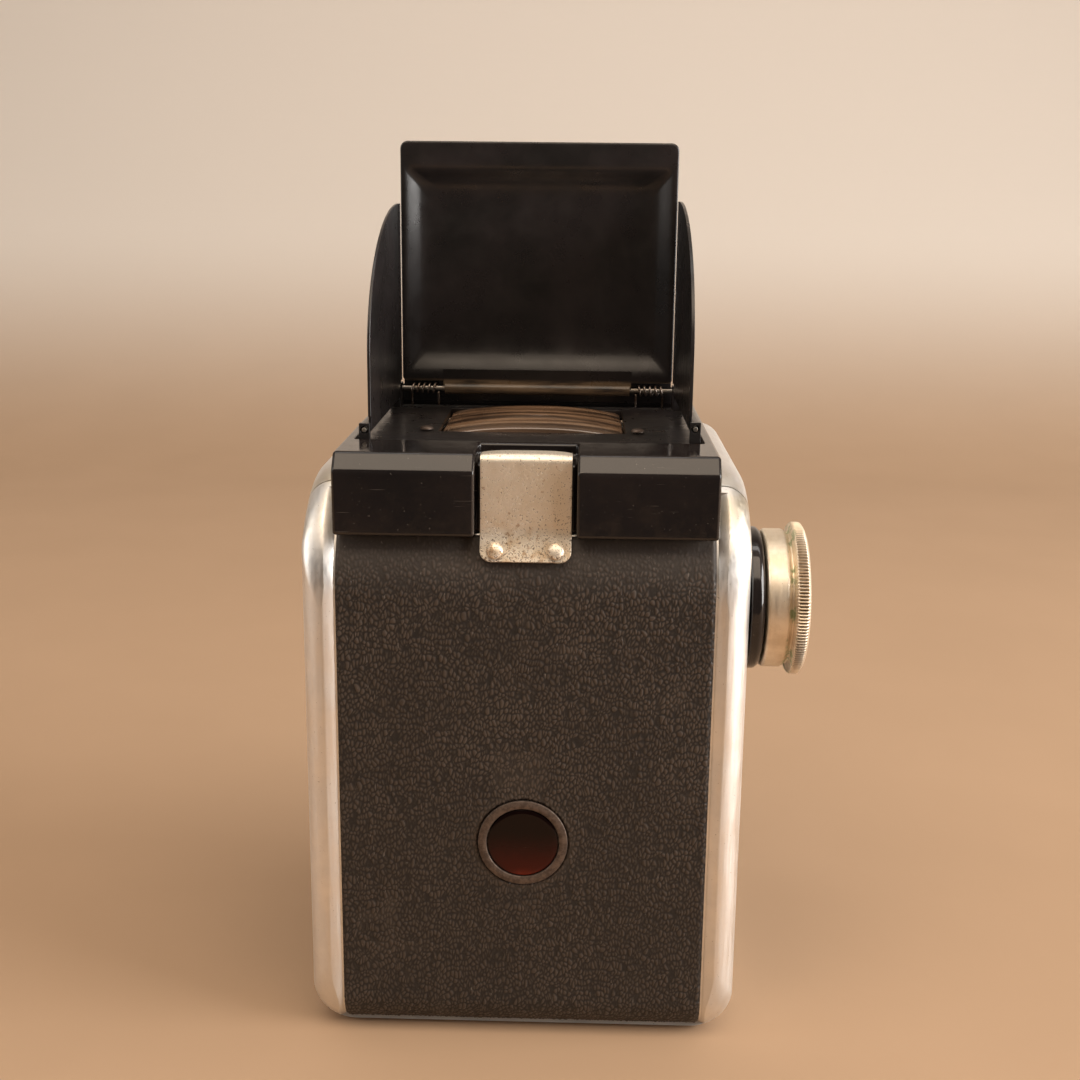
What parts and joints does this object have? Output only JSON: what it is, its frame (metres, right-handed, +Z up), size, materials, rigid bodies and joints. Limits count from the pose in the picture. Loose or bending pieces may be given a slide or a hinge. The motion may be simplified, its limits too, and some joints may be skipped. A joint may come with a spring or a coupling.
{
  "type": "box camera",
  "caption": "Vintage roll film box camera with a waist-level reflecting finder under a folding hood, a hinged back door and a winding knob.",
  "frame": {"origin": "middle of the base's flat face, at mount resting_face", "axes": "+Z up from the base, +Y towards the lens, +X towards the winding knob"},
  "size_m": [0.0927, 0.0893, 0.1677],
  "materials": {
    "satin_alloy": "satin cast alloy with a slight yellow patina",
    "leatherette": "fine pebbled black leatherette",
    "gloss_black": "glossy black moulding",
    "black_enamel": "satin black enamel on sheet metal",
    "matt_black": "matt black inside paint",
    "nickel": "warm worn nickel plate with rust specks",
    "steel": "plain drawn steel",
    "glass": "clear lens glass",
    "red_celluloid": "dark red window",
    "mirror": "front-silvered glass",
    "brown_ring": "dull brown lacquered metal"
  },
  "bodies": {
    "camera_body": {"body_shell": "satin_alloy", "top_cover": "gloss_black", "side_leatherette_left": "leatherette", "side_leatherette_right": "leatherette", "latch_catch": "nickel", "tripod_bush": "nickel", "light_cone": "matt_black", "knob_boss": "gloss_black", "front_plate": "leatherette", "front_screw_1": "nickel", "front_screw_2": "nickel", "front_screw_3": "nickel", "front_screw_4": "nickel", "shutter_housing": "satin_alloy", "aperture_plate": "matt_black", "lever_post": "steel", "lens_barrel": "gloss_black", "taking_lens": "glass", "lens_ring": "nickel", "viewing_lens_bezel": "satin_alloy", "viewing_lens": "glass", "finder_partition": "matt_black", "finder_mirror": "mirror", "finder_frame": "black_enamel", "finder_lens": "glass", "finder_rivet_left": "brown_ring", "finder_rivet_right": "brown_ring", "lid_hinge_pin": "steel", "lid_spring_left": "steel", "lid_spring_right": "steel", "flap_pin_left": "steel", "flap_pin_right": "steel", "door_hinge_pin": "steel", "supply_pivot_fixed": "steel"},
    "back_door": {"back_door": "satin_alloy", "back_leatherette": "leatherette", "red_window": "red_celluloid", "red_window_ring": "brown_ring", "pressure_plate": "black_enamel"},
    "latch": {"latch_clip": "nickel", "latch_rivet_left": "nickel", "latch_rivet_right": "nickel"},
    "lid": {"hood_lid": "black_enamel"},
    "left_flap": {"hood_flap_left": "black_enamel"},
    "right_flap": {"hood_flap_right": "black_enamel"},
    "knob": {"winding_knob": "nickel", "knob_cap": "nickel", "winding_shaft": "steel"},
    "take_up": {"take_up_spool": "black_enamel"},
    "supply": {"supply_spool": "black_enamel"},
    "top_roller": {"film_roller_top": "steel"},
    "bottom_roller": {"film_roller_bottom": "steel"},
    "take_up_pin": {"take_up_pivot": "steel"},
    "supply_pin": {"supply_pivot_sprung": "steel"},
    "shutter_release": {"release_lever": "nickel"},
    "blade": {"shutter_blade": "steel"},
    "selector": {"speed_selector": "nickel"}
  },
  "joints": [
    {"name": "back_door_hinge", "type": "hinge", "parent": "camera_body", "child": "back_door", "pos_m": [0, -0.02815, 0.0021], "axis": [1, 0, 0], "range_deg": [0, 90]},
    {"name": "latch_flex", "type": "hinge", "parent": "back_door", "child": "latch", "pos_m": [0, -0.03898, 0.094], "axis": [1, 0, 0], "range_deg": [0, 12], "stiffness_Nm_per_rad": 0.2, "springref_deg": -2.86},
    {"name": "lid_hinge", "type": "hinge", "parent": "camera_body", "child": "lid", "pos_m": [0, 0.026, 0.1159], "axis": [1, 0, 0], "range_deg": [0, 90], "stiffness_Nm_per_rad": 0.004, "springref_deg": -34.38},
    {"name": "left_flap_hinge", "type": "hinge", "parent": "camera_body", "child": "left_flap", "pos_m": [-0.0305, 0, 0.1146], "axis": [0, 1, 0], "range_deg": [0, 90], "stiffness_Nm_per_rad": 0.002, "springref_deg": -17.19},
    {"name": "right_flap_hinge", "type": "hinge", "parent": "camera_body", "child": "right_flap", "pos_m": [0.0305, 0, 0.1156], "axis": [0, -1, 0], "range_deg": [0, 90], "stiffness_Nm_per_rad": 0.002, "springref_deg": -17.19},
    {"name": "winding_knob_turn", "type": "hinge", "parent": "camera_body", "child": "knob", "pos_m": [0.0436, -0.023, 0.0838], "axis": [1, 0, 0], "continuous": true},
    {"name": "take_up_spool_turn", "type": "hinge", "parent": "camera_body", "child": "take_up", "pos_m": [0, -0.023, 0.0838], "axis": [1, 0, 0], "continuous": true},
    {"name": "supply_spool_turn", "type": "hinge", "parent": "camera_body", "child": "supply", "pos_m": [0, -0.002, 0.0142], "axis": [1, 0, 0], "continuous": true},
    {"name": "top_roller_turn", "type": "hinge", "parent": "camera_body", "child": "top_roller", "pos_m": [0, -0.0345, 0.0734], "axis": [1, 0, 0], "continuous": true},
    {"name": "bottom_roller_turn", "type": "hinge", "parent": "camera_body", "child": "bottom_roller", "pos_m": [0, -0.0345, 0.0123], "axis": [1, 0, 0], "continuous": true},
    {"name": "take_up_pin_pull", "type": "slide", "parent": "camera_body", "child": "take_up_pin", "axis": [-1, 0, 0], "range_m": [0, 0.0026], "stiffness_N_per_m": 200, "springref_m": -0.002},
    {"name": "supply_pin_pull", "type": "slide", "parent": "camera_body", "child": "supply_pin", "axis": [-1, 0, 0], "range_m": [0, 0.0026], "stiffness_N_per_m": 200, "springref_m": -0.002},
    {"name": "release_lever_press", "type": "hinge", "parent": "camera_body", "child": "shutter_release", "pos_m": [0.012, 0.041, 0.033], "axis": [0, 1, 0], "range_deg": [0, 18], "stiffness_Nm_per_rad": 0.01, "springref_deg": -11.46},
    {"name": "shutter_blade_swing", "type": "hinge", "parent": "camera_body", "child": "blade", "pos_m": [-0.014, 0.0397, 0.039], "axis": [0, 1, 0], "range_deg": [-40, 0]},
    {"name": "speed_selector_turn", "type": "hinge", "parent": "camera_body", "child": "selector", "pos_m": [-0.017, 0.0453, 0.058], "axis": [0, 1, 0], "range_deg": [0, 30]}
  ],
  "couplings": [
    {"joint": "take_up_spool_turn", "follows": "winding_knob_turn", "ratio": 1},
    {"joint": "shutter_blade_swing", "follows": "release_lever_press", "ratio": -2.2}
  ]
}
